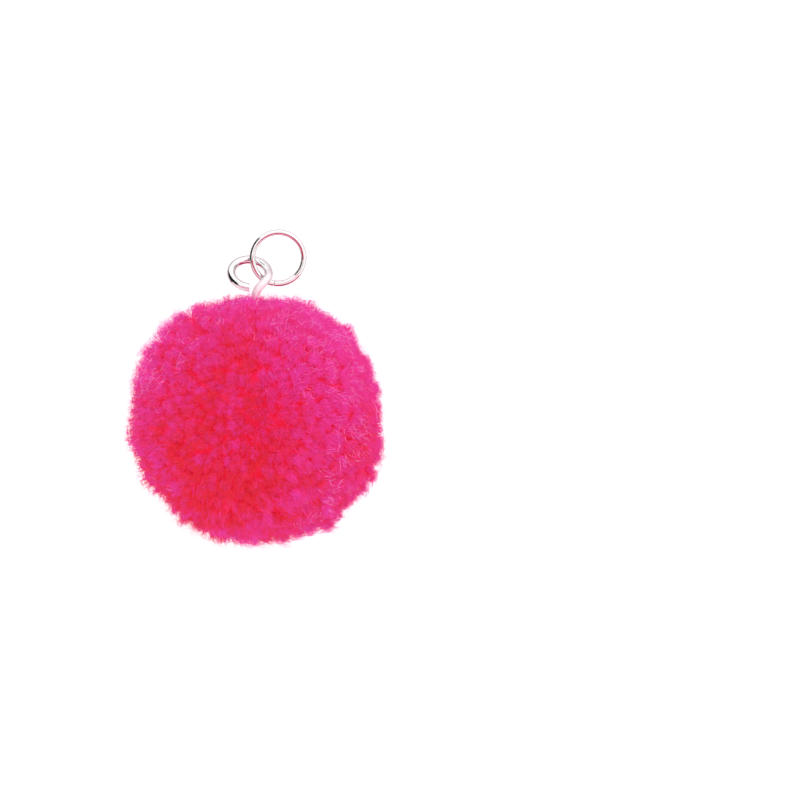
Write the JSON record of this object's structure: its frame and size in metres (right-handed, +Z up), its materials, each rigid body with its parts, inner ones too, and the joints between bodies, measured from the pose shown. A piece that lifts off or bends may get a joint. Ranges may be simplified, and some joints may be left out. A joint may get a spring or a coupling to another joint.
{
  "type": "yarn pom pom charm",
  "caption": "Round trimmed yarn pom pom with a bent-wire eye and an open jump ring to hang it from a chain, zip pull or bag.",
  "frame": {"origin": "middle of the flat spot that the ball lies on, under the ball's centre", "axes": "+Z up off the table, +Y from the ball towards its eye and ring, +X to the right of one who looks down with the eye at the top"},
  "size_m": [0.0305, 0.0385, 0.0295],
  "materials": {
    "hot_pink_yarn": "soft matt cut yarn, hot pink, deeper red between the strands and paler at the fuzzy ends",
    "silver_plated_wire": "bright polished silver-coloured plating"
  },
  "bodies": {
    "root": {"pom_pom": "hot_pink_yarn", "wire_eye": "silver_plated_wire", "jump_ring": "silver_plated_wire"}
  },
  "joints": []
}
